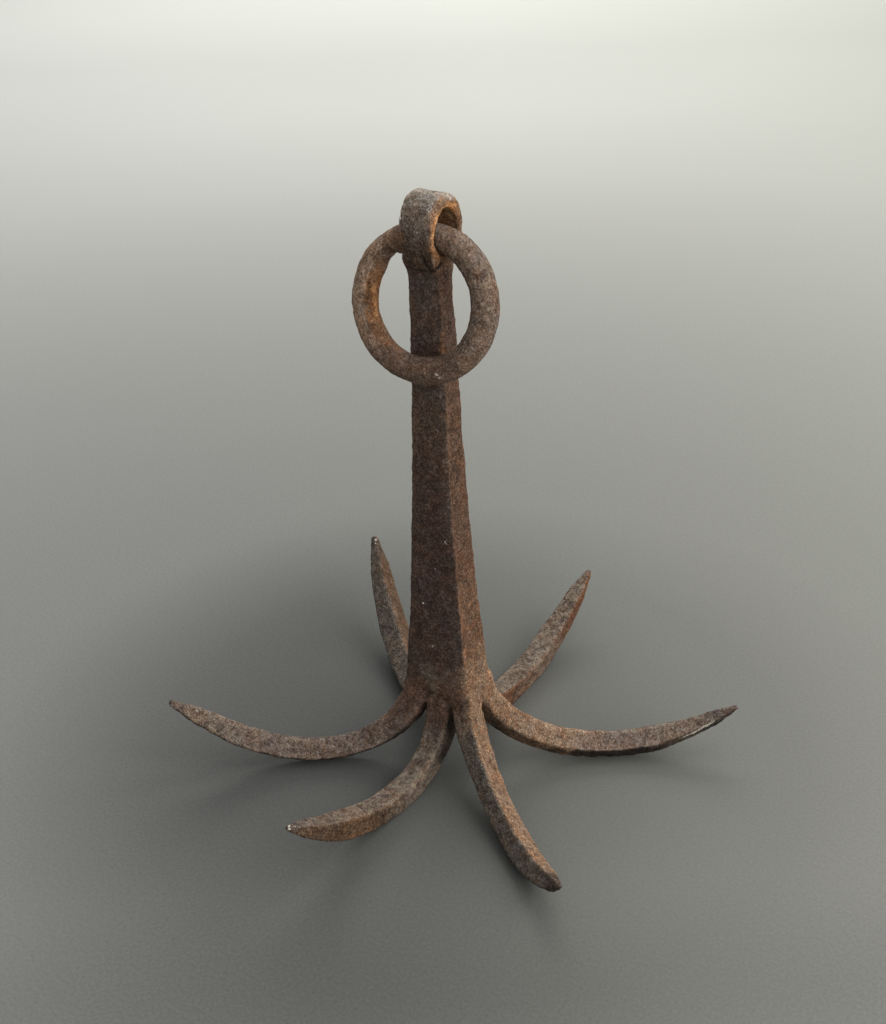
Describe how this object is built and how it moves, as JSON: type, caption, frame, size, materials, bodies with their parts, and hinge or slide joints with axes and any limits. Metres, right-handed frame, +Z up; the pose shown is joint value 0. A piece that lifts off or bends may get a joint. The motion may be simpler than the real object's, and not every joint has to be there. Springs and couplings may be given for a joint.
{
  "type": "grapnel anchor",
  "caption": "Small hand-forged claw anchor with a tapered shank, curved pointed claws and a loose round ring at its head, rusted all over.",
  "frame": {"origin": "on the floor, under the middle of the whole object's bounding box", "axes": "+Z up along the shank, -Y towards the shank's flat dark front where the ring hangs, +X towards the open side of the eye"},
  "size_m": [0.2402, 0.2786, 0.2999],
  "materials": {
    "forging": "rough dark brown rust over pitted wrought iron",
    "ring_bar": "rough grey-brown rust over wrought iron, orange on its inner side"
  },
  "bodies": {
    "forging": {"forged_anchor": "forging"},
    "ring": {"ring": "ring_bar"}
  },
  "joints": [
    {"name": "ring_swing", "type": "hinge", "parent": "forging", "child": "ring", "pos_m": [-0.00352, -0.0134, 0.28125], "axis": [-1, 0, 0], "range_deg": [0, 334]}
  ]
}
